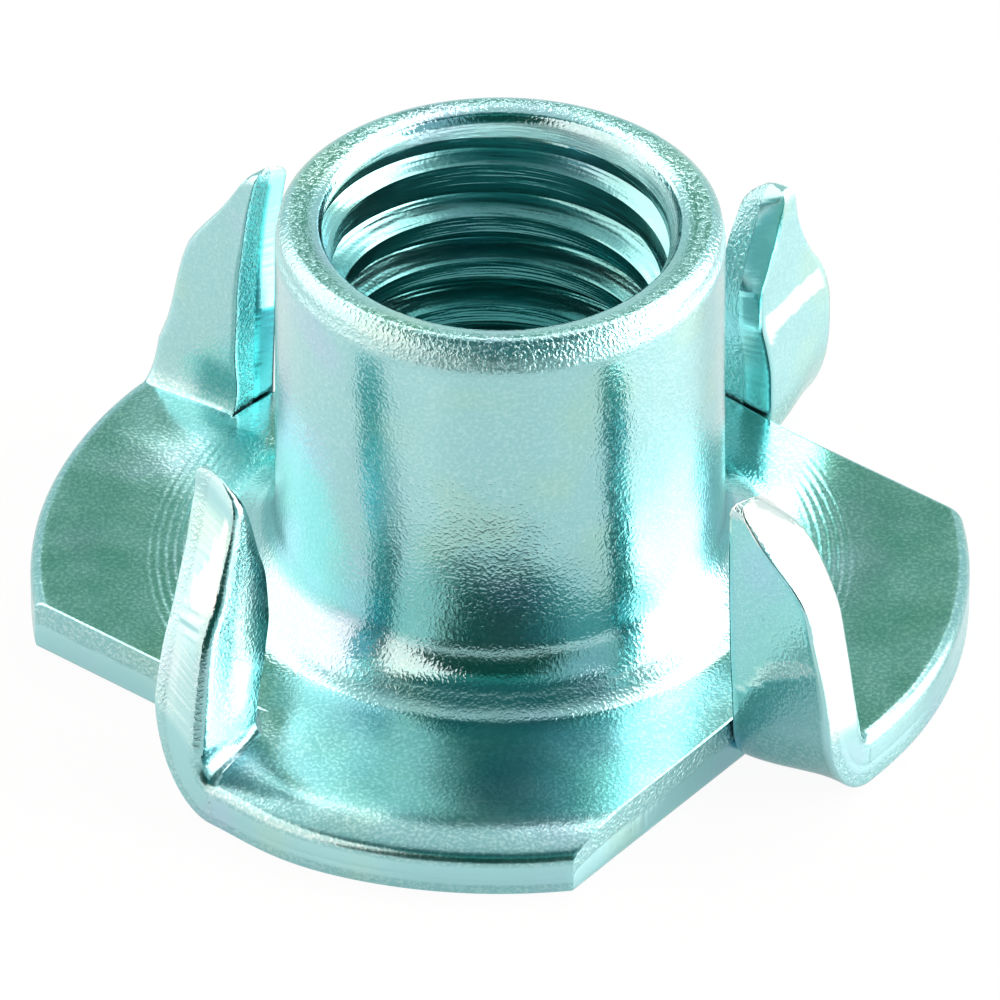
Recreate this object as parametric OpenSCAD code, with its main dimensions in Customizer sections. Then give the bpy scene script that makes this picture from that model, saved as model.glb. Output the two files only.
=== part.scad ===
// Four-prong tee nut, made from one round blank of sheet steel.
// The middle of the blank is drawn up into a barrel and tapped. Straight slits free four
// segments of the rim, and each is folded up along a radial line into a pointed prong.
// The origin is on the barrel's axis at the underside of the flange. +Z runs up the barrel.

/* [Flange] */
// Diameter of the round blank, which is the size across the lobes
flange_d = 25.5; // [24.5:0.5:28]
// Thickness of the sheet in the flange and the prongs
sheet_t = 1.6; // [1.3:0.1:1.9]
// Radius that blanking rolls onto the upper edge of the rim
rim_roll_r = 0.5; // [0.2:0.1:0.8]

/* [Barrel] */
// Outside diameter of the drawn barrel
barrel_d = 12; // [11.5:0.5:13]
// Height from the underside of the flange to the lip of the barrel
total_h = 13; // [12:0.5:20]
// Radius of the hollow between the barrel and the flange
base_fillet_r = 1.3; // [0.8:0.1:1.6]
// Radius of the lip's outer edge
lip_r = 0.9; // [0.4:0.1:1]
// Radius of the rounded entry that drawing leaves under the flange
entry_r = 2; // [1:0.1:2.4]

/* [Thread] */
// Diameter of the bore at the crests of the M10 x 1.5 thread
bore_d = 8.5; // [8.4:0.05:8.65]
// Diameter of the countersink at the lip
mouth_d = 9.9; // [9.4:0.1:10]
// Depth of the countersink
mouth_h = 1.2; // [0.8:0.1:2]

/* [Prongs] */
// Number of prongs, and of the lobes between them
prong_count = 4; // [3:1:5]
// Direction of the first prong's fold, in degrees from +X
first_prong_az = 51.5; // [0:0.5:90]
// Distance of each slit from the axis
slit_dist = 9.4; // [9.2:0.1:10]
// Inside radius of the fold at a prong's foot
fold_r = 0.35; // [0.2:0.05:0.6]
// Angle that a prong is folded through, where 90 is upright
fold_angle = 86; // [82:1:90]
// Height of the prongs' tips above the underside of the flange
prong_h = 9.2; // [8.6:0.1:9.4]
// Width of the blunt end of a prong
tip_w = 0.5; // [0.35:0.05:0.8]
// Radius of the blunt end's corner on the side of the slit
tip_r = 0.25; // [0.1:0.05:0.3]

/* [Hidden] */
$fn = 96;
cut_extra = 1;
flange_r = flange_d / 2;
barrel_r = barrel_d / 2;
bore_r = bore_d / 2;
mouth_r = mouth_d / 2;
prong_pitch = 360 / prong_count;
// Height of the fold's axis, and the outside radius of the fold around it
fold_z = sheet_t + fold_r;
// Length of the flat part of a prong, from the end of the fold to the tip
prong_len = (prong_h - fold_z + fold_r * cos(fold_angle)) / sin(fold_angle);
// Distance from the blank's radial line at which the flat part of a prong starts
flap_start = sqrt(pow(flange_r, 2) - pow(slit_dist + tip_w, 2)) - prong_len;
// The rim's creep in the fold, which keeps the rim of lobe, fold and prong in line
flap_creep = flange_r - sqrt(pow(flange_r, 2) - pow(flap_start, 2));

// The sheet near its rim, from the distance inner_x out, with the rolled upper edge
module sheet_section(inner_x) {
    corner_x = flange_r - rim_roll_r;
    corner_y = sheet_t - rim_roll_r;
    translate([inner_x, 0]) square([corner_x - inner_x, sheet_t]);
    translate([inner_x, 0]) square([flange_r - inner_x, corner_y]);
    translate([corner_x, corner_y]) intersection() {
        circle(rim_roll_r);
        square(rim_roll_r);
    }
}

// One lobe of the flange, from the fold of its own prong round to the radial line of the next
// prong, whose freed segment is taken out: it lies beyond the slit
module lobe() {
    difference() {
        rotate_extrude(angle = prong_pitch) sheet_section(bore_r);
        rotate(prong_pitch)
            translate([slit_dist, -flange_r, -cut_extra])
                cube([flange_r, flange_r + cut_extra, sheet_t + 2 * cut_extra]);
    }
}

// The fold at a prong's foot: the rim's own section, turned about the fold's axis
module prong_fold() {
    translate([0, 0, fold_z])
        rotate([0, -90, 0])
            rotate(180)
                rotate_extrude(angle = fold_angle)
                    translate([fold_z, 0])
                        mirror([1, 1])
                            sheet_section(slit_dist);
}

// The flat part of a prong, lying as it did in the blank: the fold's section run on, trimmed
// on the outside by the blank's own round edge, with its tip blunted
module flat_prong() {
    intersection() {
        rotate([90, 0, 0]) linear_extrude(prong_len) sheet_section(slit_dist);
        translate([flap_creep, flap_start, -cut_extra])
            cylinder(h = sheet_t + 2 * cut_extra, r = flange_r);
        translate([slit_dist, -prong_len, -cut_extra])
            linear_extrude(sheet_t + 2 * cut_extra) {
                translate([tip_r, 0]) square([flange_r, prong_len + cut_extra]);
                translate([0, tip_r]) square([flange_r, prong_len + cut_extra]);
                translate([tip_r, tip_r]) circle(tip_r);
            }
    }
}

module prong() {
    prong_fold();
    translate([0, 0, fold_z])
        rotate([-fold_angle, 0, 0])
            translate([0, 0, -fold_z])
                flat_prong();
}

// Half of the barrel's wall, with the hollow at its base still square
module barrel_wall() {
    translate([bore_r, 0]) square([barrel_r - lip_r - bore_r, total_h]);
    translate([bore_r, 0]) square([barrel_r - bore_r, total_h - lip_r]);
    translate([barrel_r - lip_r, total_h - lip_r]) intersection() {
        circle(lip_r);
        square(lip_r);
    }
    translate([bore_r, 0]) square([barrel_r + base_fillet_r - bore_r, sheet_t + base_fillet_r]);
}

module barrel() {
    rotate_extrude() difference() {
        barrel_wall();
        translate([barrel_r + base_fillet_r, sheet_t + base_fillet_r]) circle(base_fillet_r);
        polygon([
            [bore_r, total_h - mouth_h],
            [mouth_r, total_h],
            [mouth_r, total_h + cut_extra],
            [0, total_h + cut_extra],
            [0, total_h - mouth_h],
        ]);
    }
}

// The bore through the sheet, flared at the underside
module drawn_entry() {
    rotate_extrude() difference() {
        translate([0, -cut_extra]) square([bore_r + entry_r, cut_extra + entry_r]);
        translate([bore_r + entry_r, entry_r]) circle(entry_r);
    }
}

module tee_nut() {
    color("paleturquoise") difference() {
        union() {
            barrel();
            for (i = [0 : prong_count - 1])
                rotate(first_prong_az + i * prong_pitch) {
                    lobe();
                    prong();
                }
        }
        translate([0, 0, -cut_extra]) cylinder(h = total_h, r = bore_r);
        drawn_entry();
    }
}

tee_nut();
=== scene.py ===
import math

import bmesh
import bpy
import numpy as np
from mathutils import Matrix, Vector
from mathutils.geometry import delaunay_2d_cdt


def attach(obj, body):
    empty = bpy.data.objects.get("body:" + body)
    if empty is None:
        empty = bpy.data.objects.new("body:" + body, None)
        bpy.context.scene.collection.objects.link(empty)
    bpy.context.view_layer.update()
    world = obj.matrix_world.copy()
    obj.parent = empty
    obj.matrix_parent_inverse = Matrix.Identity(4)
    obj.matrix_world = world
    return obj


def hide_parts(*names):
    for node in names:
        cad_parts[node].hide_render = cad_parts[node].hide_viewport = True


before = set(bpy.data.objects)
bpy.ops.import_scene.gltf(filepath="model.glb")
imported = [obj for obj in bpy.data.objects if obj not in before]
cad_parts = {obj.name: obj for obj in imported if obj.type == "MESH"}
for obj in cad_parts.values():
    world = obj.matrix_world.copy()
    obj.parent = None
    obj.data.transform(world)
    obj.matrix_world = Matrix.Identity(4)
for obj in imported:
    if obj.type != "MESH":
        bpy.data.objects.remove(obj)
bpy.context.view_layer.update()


# The barrel: the middle of a round blank of sheet steel, drawn up into a tube. Its lip is
# bevelled by the die, and a hollow curve at its foot runs out into the flange.

class Skin:
    """The nut's surface in millimetres: its points, the finish and painted light at each point, and its
    faces.
    """

    def __init__(self):
        self.points, self.finish, self.faces = [], [], []

    def row(self, points, burnish=0.0, tear=0.0, edge=0.0, run=0.0, rub=0.0):
        """Adds a row of points with their finish and painted light, and gives back their numbers."""
        first = len(self.points)
        count = len(points)
        self.points.extend(tuple(float(c) for c in p) for p in points)
        spread = [np.broadcast_to(np.asarray(v, float), count) for v in (burnish, tear, edge, rub, run)]
        self.finish.extend(zip(*spread))
        return list(range(first, first + count))

    def strip(self, a, b, closed=False):
        """Joins two rows of the same length by a strip of faces."""
        n = len(a)
        for k in range(n if closed else n - 1):
            m = (k + 1) % n
            self.faces.append((a[k], a[m], b[m], b[k]))


def smooth(a, b, x):
    """0 at a, 1 at b, and an even S between them."""
    t = np.clip((np.asarray(x, float) - a) / (b - a), 0, 1)
    return t * t * (3 - 2 * t)


skin = Skin()
barrel_columns = 192
around = np.arange(barrel_columns) * 2 * math.pi / barrel_columns


def turned(radius, z):
    """A ring of points round the axis."""
    radius = np.broadcast_to(radius, around.shape)
    return np.stack([radius * np.cos(around), radius * np.sin(around), np.broadcast_to(z, around.shape)], 1)


total_height, sheet = 13.0, 1.6
lip_inner, inner_top, lip_outer = 4.9522, 12.9189, 5.38
lip_radius, lip_turn = 0.30, 43.0
bevel_end = (5.98, 12.42)
wall_radius, wall_top = 6.04, 12.20
foot_radius, wall_foot = 6.1, 3.40
fillet_radius, foot_slope, fillet_end, dish = 1.55, 30.0, 7.55, 0.10
side_flat, flat_from, flat_to = 0.24, 12.45, 12.9

outside = []
for k in range(0, 9):
    out = k / 8
    outside.append((lip_inner + (lip_outer - lip_inner) * out,
                    total_height - (total_height - inner_top) * (1 - out) ** 2))
for k in range(1, 13):
    turn = math.radians(lip_turn * k / 12)
    outside.append((lip_outer + lip_radius * math.sin(turn),
                    total_height - lip_radius * (1 - math.cos(turn))))
bevel_top = outside[-1]
for k in range(1, 9):
    down = k / 8
    outside.append((bevel_top[0] + (bevel_end[0] - bevel_top[0]) * (1.2 * down - 0.2 * down ** 3),
                    bevel_top[1] + (bevel_end[1] - bevel_top[1]) * (0.8 * down + 0.2 * down ** 3)))
for k in range(1, 5):
    turn = math.radians(35 + 55 * k / 4)
    outside.append((bevel_end[0] + 0.06 * (math.sin(turn) - 0.57) / 0.43,
                    bevel_end[1] - (bevel_end[1] - wall_top) * (k / 4)))
for k in range(1, 33):
    down = k / 32
    outside.append((wall_radius + (foot_radius - wall_radius) * down ** 2,
                    wall_top + (wall_foot - wall_top) * down))
for k in range(1, 17):
    turn = math.radians((90 - foot_slope) * k / 16)
    outside.append((foot_radius + fillet_radius * (1 - math.cos(turn)),
                    wall_foot - fillet_radius * math.sin(turn)))
foot_top = outside[-1]
for k in range(1, 9):
    out = k / 8
    outside.append((foot_top[0] + (fillet_end - foot_top[0]) * out,
                    foot_top[1] + (sheet + dish - foot_top[1]) * (1.5 * out - 0.5 * out ** 2)))

rings = []
for r, z in outside:
    flatter = side_flat * np.cos(around) ** 2 * smooth(flat_from, flat_to, z) * smooth(lip_inner, 5.4, r)
    if 12.3 < z < flat_to:
        scuffed = 0.9
    else:
        scuffed = 0.5 if z > flat_to and r > 5.2 else 0.0
    rings.append(skin.row(turned(r + flatter, z), tear=scuffed))
for upper, lower in zip(rings, rings[1:]):
    skin.strip(lower, upper, closed=True)
flange_ring = rings[-1]

# The bore: countersunk at the lip, then tapped M10 x 1.5, which leaves a spiral groove in the
# steel. It fades out into the rounded entry that drawing left under the flange.

pitch, crest, root, crest_z_at_back = 1.5, 4.29, 4.98, 9.62
bore_foot, groove_limit = 1.0, 4.93
entry_centre, entry_radius = 6.25, 2.0
sink_radius, sink_z, sink_out, sink_up = 4.54, 12.27, 0.40, 0.73
sink_top, sink_snap = 12.827, 0.055
inner_round, inner_from, inner_sweep = 0.2, 28.7, 41.3
inner_turn = math.radians(inner_from + inner_sweep)
groove = [(-0.75, 0), (-0.67, 0), (-0.61, 0.05), (-0.45, 0.30), (-0.31, 0.86), (-0.25, 0.98), (-0.12, 1.0),
          (0.0, 1.0), (0.12, 1.0), (0.25, 0.98), (0.31, 0.86), (0.45, 0.30), (0.61, 0.05), (0.67, 0)]


def bored(z):
    """The bore's radius before it is tapped: the drawn entry, the bore, its lead and the countersink."""
    entry = entry_centre - np.sqrt(np.maximum(entry_radius ** 2 - np.maximum(entry_radius - z, 0) ** 2, 0))
    lead = crest + (sink_radius - crest) * smooth(10.3, 10.7, z)
    sink = sink_radius + (z - sink_z) * sink_out / sink_up
    return np.maximum(np.maximum(entry, lead), sink)


thread_rows = []
spiral = np.append(around, 2 * math.pi)
for turn_number in range(-1, 10):
    for height, tooth in groove:
        z = crest_z_at_back + pitch * ((spiral - math.pi / 2) / (2 * math.pi) + turn_number - 6) + height
        z = np.where(abs(z - sink_z) < sink_snap, sink_z, z)
        z = np.clip(z, bore_foot, sink_top)
        cut = root - (root - crest) * tooth
        cut = 4.0 + (cut - 4.0) * smooth(bore_foot, bore_foot + 0.7, z)
        radius = np.maximum(bored(z), np.minimum(cut, groove_limit))
        radius = np.where(z >= sink_top, bored(sink_top), radius)
        radius = np.where(z <= bore_foot, bored(bore_foot), radius)
        thread_rows.append(skin.row(np.stack([radius * np.cos(spiral), radius * np.sin(spiral), z], 1)))
for lower, upper in zip(thread_rows, thread_rows[1:]):
    skin.strip(upper, lower)

lip_rows = []
for k in range(0, 8):
    turn = math.radians(inner_from + inner_sweep * k / 7)
    lip_rows.append(skin.row(turned(lip_inner + inner_round * (math.cos(inner_turn) - math.cos(turn)),
                                    inner_top - inner_round * (math.sin(inner_turn) - math.sin(turn)))))
for lower, upper in zip(lip_rows, lip_rows[1:]):
    skin.strip(upper, lower, closed=True)

entry_rows = []
for k in range(0, 13):
    turn = math.radians(60 * (1 - k / 12))
    entry_rows.append(skin.row(turned(entry_centre - entry_radius * math.sin(turn),
                                      entry_radius - entry_radius * math.cos(turn))))
for upper, lower in zip(entry_rows, entry_rows[1:]):
    skin.strip(upper, lower, closed=True)
mouth_ring = entry_rows[-1]

# The flange: the rest of the round blank, cut by four straight slits into flat lobes.
# Its rim was sheared from above, which rolls the top edge; the slits were sheared from below.

blank, slit_wall, prong_wall, corner = 12.75, 9.37, 9.43, 0.12
rim_columns, corner_columns, slit_columns = 88, 5, 72
rim_run, slit_run = 10.5, 19.1
edge_roll, dip_spread = 1.6, 9
prong_turns = {"back_right": 51.5, "back_left": 141.5, "front_left": 231.5, "front_right": 321.5}
rim_dip = {"back_right": 0.50, "back_left": 0.0, "front_left": 0.30, "front_right": 0.05}
slit_stop = {"back_right": 0.0, "back_left": 0.0, "front_left": 0.8, "front_right": 0.0}
rim_droop = {"back_right": 0.02, "back_left": 0.02, "front_left": 0.40, "front_right": 0.02}
names = list(prong_turns)
top_insets = [edge_roll, 1.3, 1.05, 0.82, 0.62, 0.45, 0.32, 0.22, 0.14, 0.08, 0.035, 0.008, 0.0]
slit_line, rim_line, under_inset = 0.46, 0.70, 0.13
# Each step down a sheared wall: how far it lies in from the outline, and the share of the wall above it.
wall_steps = [(0.0, 0.10), (0.0, 0.22), (0.0, 0.34), (0.0, 0.43), (0.006, slit_line), (0.0, 0.49),
              (0.0, 0.62), (0.0, rim_line), (0.004, 0.80), (0.012, 0.90), (0.03, 0.965), (0.07, 0.993),
              (under_inset, 1.0)]


def roll(inset, droop):
    """How far the rolled edge lies below the sheet's face, at a distance in from the rim."""
    gentle = droop * (np.clip(edge_roll - inset, 0, None) / edge_roll) ** 2
    radius = 0.30 - 0.25 * droop
    tight = radius - np.sqrt(np.maximum(radius ** 2 - np.clip(radius - inset, 0, radius) ** 2, 0))
    return gentle + tight


def placed(turn, points):
    """Turns points given along a prong's fold line, across it and up, into the nut's own frame."""
    points = np.asarray(points, float)
    c, s = math.cos(math.radians(turn)), math.sin(math.radians(turn))
    x, y, z = points[:, 0], points[:, 1], points[:, 2]
    return np.stack([x * c - y * s, x * s + y * c, z], 1)


def lobe_outline(dip, inset, stop):
    """One lobe's edge at a distance in from its outline: the rim, the corner and the slit's side."""
    outer, side = blank - inset, slit_wall - inset
    rounding = max(corner - inset, 0.0)
    centre = -math.sqrt((outer - rounding) ** 2 - (side - rounding) ** 2)
    end = math.pi / 2 + math.atan2(centre, side - rounding)
    rim_angles = np.linspace(0, 1, rim_columns) * end
    rim_radius = outer - dip * np.exp(-(np.degrees(rim_angles) / dip_spread) ** 2)
    rim = np.stack([rim_radius * np.cos(rim_angles), rim_radius * np.sin(rim_angles)], 1)
    bend = np.linspace(end, math.pi / 2, corner_columns + 2)[1:-1]
    middle = np.array([-centre, side - rounding])
    bend_points = middle + rounding * np.stack([np.cos(bend), np.sin(bend)], 1)
    slit_y = np.linspace(centre, -stop, slit_columns)
    slit = np.stack([-slit_y, np.full(slit_y.shape, side)], 1)
    flat = np.concatenate([rim, bend_points, slit])
    return np.column_stack([flat, np.zeros(len(flat))])


def rim_radius_at(x, y):
    """The rim's radius in the direction of a point, with the dips beside the prongs' feet."""
    angle = np.degrees(np.arctan2(y, x)) % 360
    radius = np.full(np.shape(angle), blank)
    for name, turn in prong_turns.items():
        off = (angle - turn) % 360
        radius = radius - np.where(off < 90, rim_dip[name] * np.exp(-(off / dip_spread) ** 2), 0)
    return radius


def top_face(x, y):
    """The height of the flange's upper face, which droops toward the rim on the front lobe only."""
    angle = np.degrees(np.arctan2(y, x)) % 360
    droop = 0.02 + 0.38 * smooth(228, 231, angle) * (1 - smooth(318, 322, angle))
    from_axis = np.hypot(x, y)
    dished = dish * (1 - smooth(fillet_end, 10.4, from_axis))
    return sheet - roll(rim_radius_at(x, y) - from_axis, droop) + dished


is_slit = np.concatenate([np.zeros(rim_columns), np.linspace(0, 1, corner_columns + 2)[1:-1],
                          np.ones(slit_columns)]) > 0.5
outline_run = np.concatenate([np.linspace(0, rim_run, rim_columns), np.full(corner_columns, rim_run),
                              np.linspace(rim_run, slit_run, slit_columns)])
lobes = {}
for name, turn in prong_turns.items():
    rows = []
    stop = slit_stop[names[(names.index(name) + 1) % 4]]
    for inset in top_insets:
        p = placed(turn, lobe_outline(rim_dip[name], inset, stop))
        p[:, 2] = top_face(p[:, 0], p[:, 1]) - np.where(is_slit, 0.015 if inset < 0.03 else 0.0, 0)
        rows.append((skin.row(p, run=outline_run), p))
    edge_height = rows[-1][1][:, 2]
    for inset, fall in wall_steps:
        p = placed(turn, lobe_outline(rim_dip[name], inset, stop))
        p[:, 2] = edge_height * (1 - fall)
        torn = np.where(is_slit, 1.0 * (fall < 0.45), 0.8 * (fall > 0.66) * (fall < 0.95))
        shear_line = np.where(is_slit, 1.0 * (fall == slit_line), 0.5 * (fall == rim_line))
        rows.append((skin.row(p, burnish=1 - torn, tear=torn, edge=shear_line, run=outline_run), p))
    for a, b in zip(rows, rows[1:]):
        skin.strip(a[0], b[0])
    lobes[name] = [r[0] for r in rows]

# The prongs: the four rim segments that the slits free, folded up about the radial line at
# their root. Each tapers to a blunt broken tip, and its fold is pressed against a die's edge.

# Heights at which the distances of a prong's edges from the nut's axis are given, in millimetres.
# "top" is the sheet's upper face and "under" its lower one; "out" is the rim and "in" the slit.
edge_heights = [1.9, 3, 4, 5, 6, 7, 8, 8.6]
prongs = {
    "front_right": dict(
        lean=86.0, tip_wear=0.32, tip=(8.95, 9.65), tip_out=(10.35, 9.98), tip_in=(9.62, 9.72),
        top_out=[12.72, 12.58, 12.48, 12.36, 12.22, 11.92, 11.46, 10.95],
        under_out=[12.70, 12.62, 12.48, 12.33, 12.20, 11.78, 11.06, 10.62],
        top_in=[9.43, 9.43, 9.43, 9.43, 9.43, 9.44, 9.46, 9.52],
        under_in=[9.43, 9.43, 9.43, 9.45, 9.48, 9.52, 9.58, 9.62]),
    "front_left": dict(
        lean=84.0, crown=0.07, tip=(8.95, 9.35), tip_out=(9.95, 9.60), tip_in=(9.70, 9.25),
        top_out=[12.45, 12.22, 12.0, 11.72, 11.06, 10.62, 10.2, 10.03],
        under_out=[12.42, 12.08, 11.70, 11.25, 10.82, 10.35, 9.95, 9.70],
        top_in=[10.05, 9.70, 9.32, 9.05, 9.02, 9.22, 9.42, 9.60],
        under_in=[9.95, 9.65, 9.42, 9.25, 9.18, 9.16, 9.18, 9.22]),
    "back_right": dict(
        lean=88.5, tip=(8.5, 9.35), tip_out=(10.45, 10.15), tip_in=(10.25, 9.75),
        top_out=[12.2, 12.1, 11.95, 11.6, 11.2, 10.95, 10.78, 10.62],
        under_out=[12.18, 12.13, 11.95, 11.62, 11.15, 10.75, 10.42, 10.30],
        top_in=[9.43, 9.35, 9.2, 9.1, 9.1, 9.32, 9.85, 10.1],
        under_in=[9.47, 9.38, 9.15, 8.88, 8.84, 9.25, 9.62, 9.70]),
    "back_left": dict(
        lean=87.2, fold_ease=0.95, tip=(9.95, 9.40), tip_out=(9.30, 9.52), tip_in=(9.02, 9.16),
        top_out=[12.45, 12.12, 11.95, 11.78, 11.52, 10.98, 10.36, 10.02],
        under_out=[12.45, 12.14, 11.95, 11.78, 11.52, 11.0, 10.34, 9.95],
        top_in=[9.5, 9.6, 9.6, 9.6, 9.56, 9.46, 9.36, 9.28],
        under_in=[9.43, 9.43, 9.43, 9.45, 9.45, 9.42, 9.35, 9.28]),
}
fold_inside = 0.35
fold_outside = fold_inside + sheet
fold_steps, blade_steps = 16, 43
flat_columns, under_columns = 8, 15
top_columns = flat_columns + len(top_insets)
default_ease, default_wear = 0.12, 0.12
taper_from, taper_length, taper_least = 0.93, 0.072, 0.04


def eased(xs, ys, x):
    """A smooth curve through the given points, without overshoot."""
    xs, ys = np.asarray(xs, float), np.asarray(ys, float)
    step, rise = np.diff(xs), np.diff(ys)
    slope = rise / step
    level = 2 * slope[:-1] * slope[1:] / (slope[:-1] + slope[1:] + 1e-12)
    tangent = np.concatenate([[slope[0]], np.where(slope[:-1] * slope[1:] > 0, level, 0), [slope[-1]]])
    x = np.clip(x, xs[0], xs[-1])
    k = np.clip(np.searchsorted(xs, x) - 1, 0, len(step) - 1)
    t = (x - xs[k]) / step[k]
    return ((1 + 2 * t) * (1 - t) ** 2 * ys[k] + t * (1 - t) ** 2 * step[k] * tangent[k]
            + t * t * (3 - 2 * t) * ys[k + 1] + t * t * (t - 1) * step[k] * tangent[k + 1])


def edge_at(prong, face, side, height):
    """How far a prong's edge is from the axis at a height: face is top or under, side is in or out."""
    end = 0 if face == "top" else 1
    heights = edge_heights + [prong["tip"][end] + 0.01]
    return eased(heights, prong[f"{face}_{side}"] + [prong[f"tip_{side}"][end]], height)


# The painted light says how much a painted highlight pales the film at a point, or, where it is
# negative, how much painted shade darkens it. x is the distance from the axis, across the share of
# the prong's width and through the share of its thickness; cut is above 0 on a sheared edge.

def painted_light_front_left(x, across, through, up, cut):
    # Painted light on the front left prong: a painted highlight stripe up its upper face above the fold, with
    # painted shade beside the slit, and a painted highlight on its rim band above 5.4 mm.
    if through < 0.1 and not cut:
        stripe = math.exp(-((across - 0.42) / 0.20) ** 2)
        return float(smooth(2.2, 3.0, up)) * (stripe - (0.35 if across < 0.2 else 0.0))
    return 0.9 * float(smooth(5.4, 6.6, up)) * (across > 0.9) * (0.08 < through < 0.9)


def painted_light_front_right(x, across, through, up, cut):
    # Painted light on the front right prong: on its under face a painted highlight above the knee, a brighter
    # one across the knee and painted shade below it; painted highlights on its rim band and its tip.
    if through > 0.99 and not cut:
        upper = float(eased([9.4, 9.9, 10.5, 10.8, 11.5, 12.2], [2.85, 3.17, 4.07, 4.43, 4.75, 5.01], x))
        lower = float(eased([9.4, 9.75, 10.3, 11.5, 12.1], [2.75, 2.86, 3.35, 4.15, 4.60], x))
        if up > upper:
            return 0.35
        return 0.9 if up > lower else -0.45
    rim_band = float(smooth(2.0, 3.2, up)) * (across > 0.9) * (0.05 < through < 0.93)
    return 0.9 * max(rim_band, float(smooth(8.3, 8.6, up)))


def painted_light_back_right(x, across, through, up, cut):
    # Painted light on the back right prong: a painted highlight band across its under face, and faint painted
    # shade along the slit's side.
    if through > 0.99 and not cut:
        upper = float(eased([8.9, 11.5], [5.36, 5.65], x))
        lower = float(eased([9.2, 9.87, 11.65], [3.97, 4.60, 4.83], x))
        return 0.8 if lower < up < upper else 0.0
    return -0.25 * (across < 0.1)


def painted_light_back_left(x, across, through, up, cut):
    # Painted shade on the back left prong: at the foot of its upper face on the slit's half and along the
    # slit's edge, and down the slit's side, deepest toward the under face below 4.6 mm.
    if through < 0.1 and not cut:
        foot = 1 - float(smooth(2.6, 3.6, up))
        corner_side = (1 - float(smooth(0.30, 0.65, across))) * float(smooth(1.6, 1.72, up))
        return -0.75 * max(foot * corner_side, 0.7 * (across < 0.1))
    shade = -0.95 if through < 0.62 else -0.15 if up > 4.6 else -1.4
    return shade * (across < 0.1) * (through > 0.02)


prongs["front_left"].update(rub=painted_light_front_left)
prongs["front_right"].update(rub=painted_light_front_right)
prongs["back_left"].update(rub=painted_light_back_left)
prongs["back_right"].update(rub=painted_light_back_right)

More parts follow.
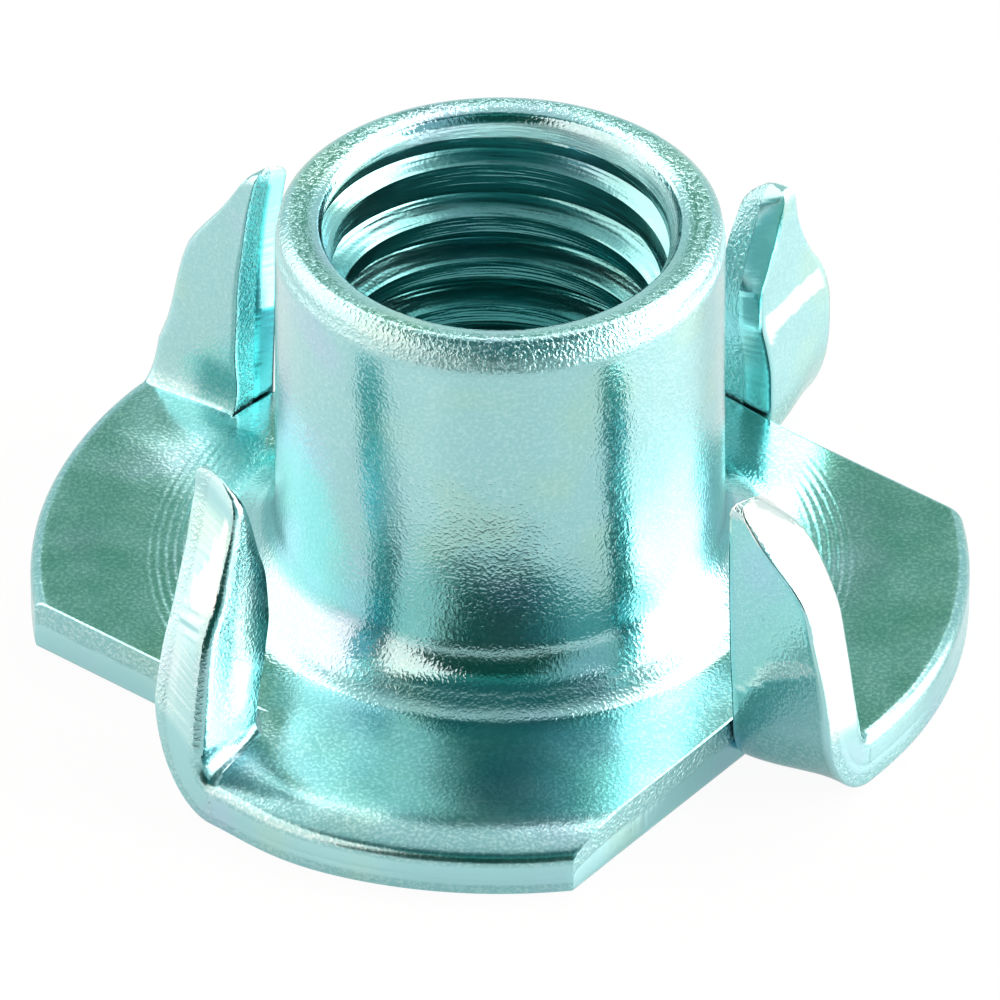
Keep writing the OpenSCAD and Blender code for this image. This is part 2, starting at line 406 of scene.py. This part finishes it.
for name, p in prongs.items():
    turn = prong_turns[name]
    root_in = prong_wall + slit_stop[name] * 0.96
    root_out = blank - rim_dip[name]
    lean = math.radians(p["lean"])

    # Stations up the prong: the places of its two faces, how far it has shrunk toward the tip, and
    # its shares of the fold and of the flat blade.
    stations = []
    for k in range(fold_steps + 1):
        a = lean * k / fold_steps
        stations.append(((-fold_inside * math.sin(a), sheet + fold_inside * (1 - math.cos(a))),
                         (-fold_outside * math.sin(a), fold_outside - fold_outside * math.cos(a)),
                         1.0, a / lean, 0.0))
    top_base, under_base = stations[-1][0], stations[-1][1]
    climb = (math.cos(lean), math.sin(lean))
    for u in np.linspace(0, 1, blade_steps + 1)[1:]:
        face_pair = []
        for base, tip in ((top_base, p["tip"][0]), (under_base, p["tip"][1])):
            z = base[1] + (tip - base[1]) * u
            face_pair.append((base[0] - (z - base[1]) * climb[0] / climb[1], z))
        near_tip = (u - taper_from) / taper_length
        shrink = 1.0 if u < taper_from else math.sqrt(max(1 - near_tip ** 2, taper_least))
        stations.append((face_pair[0], face_pair[1], shrink, 1.0, u))

    loops = []
    for (ty, tz), (uy, uz), shrink, bent, u in stations:
        top_out, top_in = edge_at(p, "top", "out", tz), edge_at(p, "top", "in", tz)
        under_out, under_in = edge_at(p, "under", "out", uz), edge_at(p, "under", "in", uz)
        top_out, under_out = (root_out + (side - root_out) * bent for side in (top_out, under_out))
        top_in, under_in = (root_in + (side - root_in) * bent for side in (top_in, under_in))
        narrow = min(1.0, 0.62 * (top_out - top_in) / edge_roll)
        droop = rim_droop[name] + (0.02 - rim_droop[name]) * bent
        thick = math.hypot(ty - uy, tz - uz)

        # One loop round the prong's section: across its upper face, over the rolled edge, down the
        # rim, back across the under face, and up the slit's side.
        loop = []
        start, end = top_in + 0.02, top_out - edge_roll * narrow
        for k in range(flat_columns):
            loop.append((start + (end - start) * (k / flat_columns), 0.0, 0, 0, 0))
        for inset in top_insets:
            drop = float(roll(inset, droop)) * min(1, narrow * 1.3) / thick
            loop.append((top_out - inset * narrow + (under_out - top_out) * drop, drop, 0, 0, 0))
        for inset, fall in wall_steps:
            h = drop + (1 - drop) * fall
            torn = 0.8 * (0.66 < fall < 0.95)
            loop.append((top_out + (under_out - top_out) * h - inset * narrow, h, 1 - torn, torn,
                         0.5 * (fall == rim_line)))
        start, end = under_out - under_inset * narrow, under_in + under_inset * narrow
        for k in range(1, under_columns + 1):
            loop.append((start + (end - start) * k / (under_columns + 1), 1.0, 0, 0, 0))
        for inset, fall in reversed(wall_steps):
            torn = 1.0 * (fall < 0.45)
            loop.append((top_in + (under_in - top_in) * fall + inset * narrow, fall, 1 - torn, torn,
                         1.0 * (fall == slit_line)))
        loop.append((top_in, 0.012, 0, 1, 0))

        middle_x = np.mean([point[0] for point in loop])
        a = lean * bent
        points, burnish, tear, line, rub = [], [], [], [], []
        for x, h, burnished, torn, sheared in loop:
            through = 0.5 + (h - 0.5) * shrink
            x = middle_x + (x - middle_x) * shrink
            out = float(smooth(9.4, 12.2, x))
            squareness = 2 / (3.2 - 1.2 * out)
            ease = p.get("fold_ease", default_ease) + 0.75 * out * (1 - out * 0.45)
            lifted = (sheet + ease * (1 - math.cos(a)), (2.3 + 1.2 * out) * (1 - math.cos(a) ** squareness))
            leant = (lifted[0] + (p["tip"][0] - lifted[0]) * u, lifted[1] + (p["tip"][1] - lifted[1]) * u)
            outward = (x - top_in) / max(top_out - top_in, 0.05)
            worn = p.get("tip_wear", default_wear) * max(0.0, u - 0.6) / 0.4 * outward ** 2
            leant = (leant[0] - worn, leant[1] - worn)
            swept = (ty, uy) if u else (ty, -fold_outside * math.sin(a) ** squareness)
            across = min(max(outward, 0.0), 1.0)
            crown = p.get("crown", 0.0) * 4 * across * (1 - across) * (1 - through) * bent
            up = leant[0] + (leant[1] - leant[0]) * through
            points.append((x, swept[0] + (swept[1] - swept[0]) * through + crown, up))
            # The prong's painted highlights and painted shade at each point.
            rub.append(p["rub"](x, across, h, up, burnished + torn))
            burnish.append(burnished)
            tear.append(torn)
            line.append(sheared)
        loops.append(skin.row(placed(turn, points), burnish=burnish, tear=tear, edge=line, run=tz, rub=rub))
    for a, b in zip(loops, loops[1:]):
        skin.strip(a, b, closed=True)
    tip_middle = np.mean([skin.points[k] for k in loops[-1]], axis=0)
    peak = skin.row([tip_middle])[0]
    n = len(loops[-1])
    for k in range(n):
        skin.faces.append((loops[-1][k], loops[-1][(k + 1) % n], peak))
    p["root"] = loops[0]

# The lobes' flat faces: the sheet between the barrel, the rims, the slits and the folds, above
# and below. The rows of lobes and prongs share their points along each fold's line.

first_ring, ring_step, ring_spacing, edge_gap = 0.35, 0.36, 0.42, 0.16
# Depth, and spread in degrees, of the painted shade round the back left prong's foot.
back_left_shade_depth, back_left_shade_spread = 0.75, 15


def fill(outer, hole, height, upward):
    """Covers the flange between its outer edge and the barrel's ring with small triangles."""
    outer_xy = [skin.points[k][:2] for k in outer]
    hole_xy = [skin.points[k][:2] for k in hole]
    hole_radius = math.hypot(*hole_xy[0])
    extra = []
    ring = np.array(outer_xy)
    r = hole_radius + first_ring
    while r < blank:
        n = int(2 * math.pi * r / ring_spacing)
        for k in range(n):
            a = 2 * math.pi * (k + 0.5 * (int(r * 10) % 2)) / n
            extra.append((r * math.cos(a), r * math.sin(a)))
        r += ring_step
    extra = np.array(extra)
    x, y = extra[:, 0], extra[:, 1]
    inside = np.zeros(len(extra), bool)
    nearest = np.full(len(extra), 1e9)
    for (x0, y0), (x1, y1) in zip(ring, np.roll(ring, -1, 0)):
        crosses = ((y0 > y) != (y1 > y)) & (x < (x1 - x0) * (y - y0) / (y1 - y0 + 1e-15) + x0)
        inside ^= crosses
        along = ((x - x0) * (x1 - x0) + (y - y0) * (y1 - y0)) / ((x1 - x0) ** 2 + (y1 - y0) ** 2 + 1e-12)
        t = np.clip(along, 0, 1)
        nearest = np.minimum(nearest, np.hypot(x - x0 - t * (x1 - x0), y - y0 - t * (y1 - y0)))
    extra = extra[inside & (nearest > edge_gap)]

    # Painted shade on the flange's upper face round the back left prong's foot: full within 8.8 mm of the
    # axis and gone beyond 9.7 mm.
    back_left_shade = []
    for a, b in extra:
        off = math.degrees(math.atan2(b, a)) - prong_turns["back_left"]
        inward = 1 - float(smooth(8.8, 9.7, math.hypot(a, b)))
        back_left_shade.append(back_left_shade_depth * math.exp(-(off / back_left_shade_spread) ** 2) * inward)
    extra_row = skin.row(np.column_stack([extra, height(extra[:, 0], extra[:, 1])]),
                         rub=-np.array(back_left_shade) * upward)

    index = list(outer) + list(hole) + extra_row
    flat = [Vector(p) for p in outer_xy + hole_xy] + [Vector(p) for p in extra]
    edges = [(k, (k + 1) % len(outer)) for k in range(len(outer))]
    edges += [(len(outer) + k, len(outer) + (k + 1) % len(hole)) for k in range(len(hole))]
    verts, _, faces, origin, _, _ = delaunay_2d_cdt(flat, edges, [], 1, 1e-6)
    for face in faces:
        middle = sum((verts[k] for k in face), Vector((0, 0))) / len(face)
        if middle.length < hole_radius:
            continue
        corners = [index[origin[k][0]] for k in face]
        skin.faces.append(tuple(corners if upward else reversed(corners)))


def welded(loop):
    """The loop with repeated places left out."""
    kept = []
    for k in loop:
        if not kept or math.dist(skin.points[k], skin.points[kept[-1]]) > 1e-4:
            kept.append(k)
    if math.dist(skin.points[kept[0]], skin.points[kept[-1]]) < 1e-4:
        kept.pop()
    return kept


upper_loop, under_loop = [], []
for number, name in enumerate(names):
    root_loop, rows = prongs[name]["root"], lobes[name]
    for seam, row in zip(root_loop[flat_columns:], rows):
        skin.points[seam] = skin.points[row[0]]
    inner, outer = (np.array(skin.points[k]) for k in (root_loop[0], rows[0][0]))
    for k in range(1, flat_columns):
        skin.points[root_loop[k]] = tuple(inner + (outer - inner) * k / flat_columns)
    upper_loop += root_loop[:flat_columns] + rows[0]
    upper_loop += [row[-1] for row in rows[1:len(top_insets)]]
    next_root = prongs[names[(number + 1) % 4]]["root"]
    first_under = top_columns + len(wall_steps)
    under_loop += list(reversed(root_loop[first_under:first_under + under_columns + 1])) + rows[-1]
    slit_rows = [row[-1] for row in rows[len(top_insets) - 1:]]
    cut_rows = list(reversed(next_root[-(len(wall_steps) + 1):]))
    skin.strip(slit_rows, cut_rows)
    skin.faces.append((slit_rows[0], cut_rows[0], next_root[0]))

fill(welded(upper_loop), flange_ring, top_face, True)
fill(welded(under_loop), mouth_ring, lambda x, y: 0 * x, False)

# The whole pressing: folding pulled the sheet up a little at the root of each slit. Its rows of
# points become one closed mesh. On the mesh, "shear" holds the burnish, the tear, the shear line
# and the painted light, that is painted highlights and painted shade, and "run" is the distance along an
# edge.

pull_height = {"back_right": 0.16, "back_left": 0.32, "front_left": 0.12, "front_right": 0.2}
pull_width = {"back_right": 1.7, "back_left": 2.3, "front_left": 1.2, "front_right": 1.2}
pull_centre = (9.5, 0.2)
shape = np.array(skin.points)
rise = np.zeros(len(shape))
for name, turn in prong_turns.items():
    away = placed(-turn, shape)
    distance_squared = (away[:, 0] - pull_centre[0]) ** 2 + (away[:, 1] - pull_centre[1]) ** 2
    near = np.exp(-distance_squared / pull_width[name] ** 2)
    low_down = np.clip(shape[:, 2] / sheet, 0, 1) * (1 - smooth(2.2, 5.2, shape[:, 2]))
    rise += pull_height[name] * near * low_down
shape[:, 2] += rise

millimetre = 0.001
mesh = bpy.data.meshes.new("tee_nut_pressing")
mesh.from_pydata((shape * millimetre).tolist(), [], skin.faces)
finish = mesh.attributes.new("shear", "FLOAT_COLOR", "POINT")
finish.data.foreach_set("color", np.array([f[:4] for f in skin.finish], "f").ravel())
run = mesh.attributes.new("run", "FLOAT", "POINT")
run.data.foreach_set("value", np.array([f[4] for f in skin.finish], "f"))
nut = bpy.data.objects.new("tee_nut_pressing", mesh)
bpy.context.collection.objects.link(nut)

shaped = bmesh.new()
shaped.from_mesh(mesh)
bmesh.ops.remove_doubles(shaped, verts=shaped.verts, dist=2e-6)
bmesh.ops.dissolve_degenerate(shaped, dist=1e-7, edges=shaped.edges)
bmesh.ops.recalc_face_normals(shaped, faces=shaped.faces)
shaped.to_mesh(mesh)
shaped.free()
mesh.shade_smooth()
mesh.set_sharp_from_angle(angle=math.radians(38))

# The plating: zinc with a clear blue-green passivation film, over steel that is pebbled where it
# was formed, ringed by the die, streaked where it was sheared or tapped, and rough where it tore.


class Wire:
    """A socket's value in a node tree; sums and products of wires add their Math nodes."""

    def __init__(self, tree, socket):
        self.tree, self.socket = tree, socket

    def maths(self, operation, a, b=None):
        values = {"Value": a} if b is None else {"Value": a, "Value_001": b}
        return add_node(self.tree, "ShaderNodeMath", {"operation": operation}, 0, **values)

    def __add__(self, other): return self.maths("ADD", self, other)
    def __radd__(self, other): return self.maths("ADD", other, self)
    def __sub__(self, other): return self.maths("SUBTRACT", self, other)
    def __rsub__(self, other): return self.maths("SUBTRACT", other, self)
    def __mul__(self, other): return self.maths("MULTIPLY", self, other)
    def __rmul__(self, other): return self.maths("MULTIPLY", other, self)


def add_node(tree, kind, settings=None, out=0, **sockets):
    """Adds a node with its settings, then the values or wires of its sockets. Gives back the wire
    from one of its outputs, or the node itself where out is None."""
    node = tree.nodes.new(kind)
    for key, value in (settings or {}).items():
        setattr(node, key, value)
    by_id = {s.identifier: s for s in node.inputs}
    for key, value in sockets.items():
        socket = by_id.get(key) or node.inputs[key.replace("_", " ")]
        if isinstance(value, Wire):
            tree.links.new(value.socket, socket)
        else:
            socket.default_value = value
    if out is None:
        return node
    if isinstance(out, str):
        output = next((s for s in node.outputs if s.identifier == out), None) or node.outputs[out]
    else:
        output = node.outputs[out]
    return Wire(tree, output)


def outputs(tree, node, names):
    """The wires from several outputs of one node."""
    return [Wire(tree, node.outputs[name]) for name in names]


def between(value, low, high):
    """0 below low, 1 above high and smooth in between."""
    return add_node(value.tree, "ShaderNodeMapRange", {"interpolation_type": "SMOOTHSTEP"},
                    Value=value, From_Min=low, From_Max=high)


def blend(tree, share, a, b):
    """Colour a, with a share of colour b."""
    return add_node(tree, "ShaderNodeMix", {"data_type": "RGBA"}, out="Result_Color",
                    Factor_Float=share, A_Color=a, B_Color=b)


zinc = bpy.data.materials.new("zinc_plate")
zinc.use_nodes = True
tree = zinc.node_tree
shader = tree.nodes["Principled BSDF"]
shader.inputs["Metallic"].default_value = 1.0
metres = add_node(tree, "ShaderNodeTexCoord", out="Object")
place = add_node(tree, "ShaderNodeVectorMath", {"operation": "SCALE"}, Vector=metres, Scale=1000.0)
x, y, z = outputs(tree, add_node(tree, "ShaderNodeSeparateXYZ", out=None, Vector=place), "XYZ")
radius = x.maths("SQRT", x * x + y * y)
turn = x.maths("ARCTAN2", y, x)
marks = add_node(tree, "ShaderNodeAttribute", {"attribute_name": "shear"}, out=None)
marked, rub = outputs(tree, marks, ("Color", "Alpha"))
shares = add_node(tree, "ShaderNodeSeparateColor", out=None, Color=marked)
burnish, tear, line = outputs(tree, shares, ("Red", "Green", "Blue"))
along = add_node(tree, "ShaderNodeAttribute", {"attribute_name": "run"}, out="Fac")
bore = (1 - between(radius, 5.0, 5.12)) * (1 - between(z, 12.3, 12.8))
bevel = between(z, 11.95, 12.2) * (1 - between(z, 12.5, 12.75)) * between(radius, 5.2, 5.5)
flat = between(radius, 7.6, 8.4) * (1 - between(z, 1.75, 2.1))
formed = (1 - burnish * 0.85) * (1 - bore * 0.6)


def noise(scale, detail, vector=place):
    return add_node(tree, "ShaderNodeTexNoise", Vector=vector, Scale=scale, Detail=detail, Roughness=0.5)


def vector_of(a, b, c):
    return add_node(tree, "ShaderNodeCombineXYZ", X=a, Y=b, Z=c)


# Pebbles of about a tenth of a millimetre, slow waves in the sheet, and streaks that run up the
# sheared edges and along the thread, which rises by its pitch in each turn.
pebbles = between(noise(10.5, 1.0), 0.36, 0.80)
waves = noise(0.9, 0.0)
pitch_a_radian = 0.2387
rubbed = add_node(tree, "ShaderNodeMix", {"data_type": "VECTOR"}, out="Result_Vector", Factor_Float=bore,
                  A_Vector=vector_of(along * 6.0, z * 0.8, 0.0),
                  B_Vector=vector_of(turn * 3.0, (z - turn * pitch_a_radian) * 14.0, radius * 3.0))
streaks = noise(1.0, 0.5, rubbed)

# The die's turned rings on the left and right lobes, and the rungs on the front left prong's edge.
ring_band = between(radius, 8.2, 8.7) * (1 - between(radius, 9.4, 9.8))
ring_side = between(x * x, 45.0, 64.0) * (1 - between(y * y, 16.0, 30.0))
rings = radius.maths("SINE", radius * 26.0) * ring_band * ring_side * flat
rung_band = between(z, 5.0, 5.5) * (1 - between(z, 6.7, 7.3))
rung_side = between(0 - y, 7.0, 8.0) * between(0 - x, 4.0, 5.0)
rungs = burnish * z.maths("SINE", z * 18.5) * rung_band * rung_side

pebble_height = (0.0044 - 0.0026 * flat) * formed + 0.012 * tear + 0.003 * bevel
streak_height = 0.012 * burnish + 0.02 * bore
height = (pebbles * pebble_height + waves * 0.018 + rungs * 0.02 + rings * 0.0028
          + streaks * streak_height)
bump = add_node(tree, "ShaderNodeBump", Strength=1.0, Distance=millimetre, Height=height)
tree.links.new(bump.socket, shader.inputs["Normal"])

film_green_blue, film_blue, film_green = (0.345, 0.67, 0.69, 1), (0.42, 0.61, 0.77, 1), (0.40, 0.68, 0.57, 1)
# The first colour on the next line is painted shade for the inside of the bore.
bore_painted_shade, film_in_line = (0.015, 0.33, 0.32, 1), (0.08, 0.22, 0.24, 1)
film_in_pits, film_in_grain = (0.10, 0.20, 0.22, 1), (0.10, 0.36, 0.36, 1)
# The first colour on the next line is a painted highlight.
painted_highlight_film, film_on_pebbles = (0.88, 0.96, 0.94, 1), (0.62, 0.84, 0.80, 1)
# Both colours on the next line are painted shade, the second deeper.
painted_shade_film, painted_deepest_shade_film = (0.02, 0.26, 0.27, 1), (0.02, 0.14, 0.15, 1)
patches = noise(0.33, 1.0)
film = blend(tree, between(patches, 0.55, 0.75) * 0.6, film_green_blue, film_blue)
film = blend(tree, (1 - between(patches, 0.28, 0.45)) * 0.5, film, film_green)
# Painted shade inside the bore: the film darkens there, most strongly below 3 mm and least near the lip.
bore_shade_share = bore * (1 - between(z, 3.0, 12.6) * 0.6)
film = blend(tree, bore_shade_share * 0.9, film, bore_painted_shade)
film = blend(tree, line * between(waves, 0.35, 0.6) * 0.3, film, film_in_line)
pits = add_node(tree, "ShaderNodeTexVoronoi", Vector=place, Scale=0.9)
film = blend(tree, (1 - between(pits, 0.02, 0.05)) * 0.5, film, film_in_pits)
# Painted light: a painted highlight where the mesh's painted light is above 0, and painted shade where it is
# below 0, deepest below -1.
film = blend(tree, between(rub, 0.0, 1.0) * 0.9, film, painted_highlight_film)
film = blend(tree, between(0 - rub, 0.0, 1.0) * 0.95, film, painted_shade_film)
film = blend(tree, between(0 - rub, 1.0, 1.5), film, painted_deepest_shade_film)
unsheared = (1 - burnish) * (1 - bore)
film = blend(tree, pebbles * (0.16 + 0.12 * flat) * unsheared, film, film_on_pebbles)
film = blend(tree, (1 - pebbles) * (0.16 + 0.24 * flat) * unsheared, film, film_in_grain)
tree.links.new(film.socket, shader.inputs["Base Color"])
gloss = 0.12 + 0.05 * flat + 0.12 * tear + 0.05 * bore + 0.08 * waves + 0.15 * bevel
tree.links.new(gloss.socket, shader.inputs["Roughness"])
nut.data.materials.append(zinc)
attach(nut, "root")
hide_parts("tee_nut")

# The table: a white acrylic sheet, matt in the body and glossy enough on top to show the lamps
# at a low angle. It lies flat under the nut.

bpy.ops.mesh.primitive_plane_add(size=20.0, location=(0, 0, 0))
floor = bpy.context.object
floor.name = "floor"
acrylic = bpy.data.materials.new("white_acrylic")
acrylic.use_nodes = True
tree = acrylic.node_tree
tree.nodes.clear()
path = add_node(tree, "ShaderNodeLightPath", out=None)
to_camera, to_gloss, to_glass = outputs(tree, path, ("Is Camera Ray", "Is Glossy Ray", "Is Transmission Ray"))
seen = to_camera * 0.94 + to_gloss * 0.5 + to_glass * 0.9
matt = add_node(tree, "ShaderNodeBsdfDiffuse", Color=(0.8, 0.8, 0.8, 1))
lit = add_node(tree, "ShaderNodeEmission", Color=(1.0, 1.0, 1.0, 1), Strength=1.0)
body = add_node(tree, "ShaderNodeMixShader", Fac=seen, Shader=matt, Shader_001=lit)
shine = add_node(tree, "ShaderNodeBsdfAnisotropic", Color=(1, 1, 1, 1), Roughness=0.2)
mirror = add_node(tree, "ShaderNodeFresnel", IOR=1.6) * (1 - to_camera)
surface = add_node(tree, "ShaderNodeMixShader", Fac=mirror, Shader=body, Shader_001=shine)
add_node(tree, "ShaderNodeOutputMaterial", out=None, Surface=surface)
floor.data.materials.append(acrylic)

# The studio: a dim room, darkest behind the camera and paler overhead at the back. Four softboxes
# on stands light the nut, and two more are seen in its gloss only.

world = bpy.data.worlds.new("studio")
bpy.context.scene.world = world
world.use_nodes = True
tree = world.node_tree
tree.nodes.clear()
direction = add_node(tree, "ShaderNodeTexCoord", out="Generated")
east, north, high = outputs(tree, add_node(tree, "ShaderNodeSeparateXYZ", out=None, Vector=direction), "XYZ")
behind_camera = blend(tree, between(high, 0.56, 0.70), (0.008, 0.07, 0.055, 1), (0.05, 0.30, 0.27, 1))
behind_camera = blend(tree, between(east + high * 0.4, 0.42, 0.70), behind_camera, (0.40, 0.62, 0.62, 1))
behind_camera = blend(tree, between(high, 0.68, 0.84), behind_camera, (0.02, 0.13, 0.13, 1))
far_side = blend(tree, between(high, 0.66, 0.86), (0.15, 0.36, 0.23, 1), (0.90, 0.86, 0.85, 1))
far_side = blend(tree, between(high, 0.42, 0.54), (0.95, 0.97, 0.93, 1), far_side)
aside = east.maths("ABSOLUTE", east)
far_side = blend(tree, between(aside, 0.10, 0.26), far_side, (0.80, 0.86, 0.84, 1))
room = blend(tree, between(north, -0.35, 0.2), behind_camera, far_side)
air = add_node(tree, "ShaderNodeBackground", Color=room, Strength=1.0)
add_node(tree, "ShaderNodeOutputWorld", out=None, Surface=air)

lamp_distance, warm_white, warmer_white = 1.2, (1.0, 0.76, 0.73), (1.0, 0.64, 0.60)


def softbox(name, azimuth, elevation, width, height, brightness, color=warm_white):
    """A lamp of even brightness that faces the nut. Its direction and its apparent size are in degrees."""
    a, e = math.radians(azimuth), math.radians(elevation)
    where = Vector((math.cos(a) * math.cos(e), math.sin(a) * math.cos(e), math.sin(e))) * lamp_distance
    lamp = bpy.data.lights.new(name, "AREA")
    lamp.shape = "RECTANGLE"
    lamp.size, lamp.size_y = (2 * lamp_distance * math.tan(math.radians(v) / 2) for v in (width, height))
    lamp.energy = brightness * math.pi * lamp.size * lamp.size_y
    lamp.color = color
    holder = bpy.data.objects.new(name, lamp)
    holder.location = where
    holder.rotation_mode = "QUATERNION"
    holder.rotation_quaternion = (-where).to_track_quat("-Z", "Y")
    bpy.context.collection.objects.link(holder)
    return holder


softbox("right_softbox", 0, 23, 56, 60, 3.3)
softbox("left_softbox", 187, 28, 94, 56, 2.2, warmer_white)
softbox("back_right_softbox", 48, 57, 38, 22, 3.2)
softbox("back_left_softbox", 124, 51, 30, 18, 3.2)
softbox("right_gleam", 0, 20, 50, 40, 6.0).visible_diffuse = False
softbox("back_right_gleam", 48, 57, 34, 18, 3.0).visible_diffuse = False

# The camera: a long lens on a stand in front of the nut, looking down at 37 degrees. The lens is
# shifted a little on its mount to frame the nut.

sensor_width, lens_in_sensors, camera_distance = 36, 15.971, 0.4314
tilt = math.radians(37.08)
aim = Vector((0, 0, 0.005))
forward = Vector((0, math.cos(tilt), -math.sin(tilt)))
camera = bpy.data.cameras.new("camera")
camera.lens = lens_in_sensors * sensor_width
camera.sensor_width = sensor_width
camera.shift_x = -0.0001
camera.shift_y = -0.0438
camera.clip_start = 0.01
camera.clip_end = 20
stand = bpy.data.objects.new("camera", camera)
stand.location = aim - forward * camera_distance
stand.rotation_mode = "QUATERNION"
stand.rotation_quaternion = forward.to_track_quat("-Z", "Y")
bpy.context.collection.objects.link(stand)
bpy.context.scene.camera = stand
bpy.context.scene.view_settings.view_transform = "Standard"
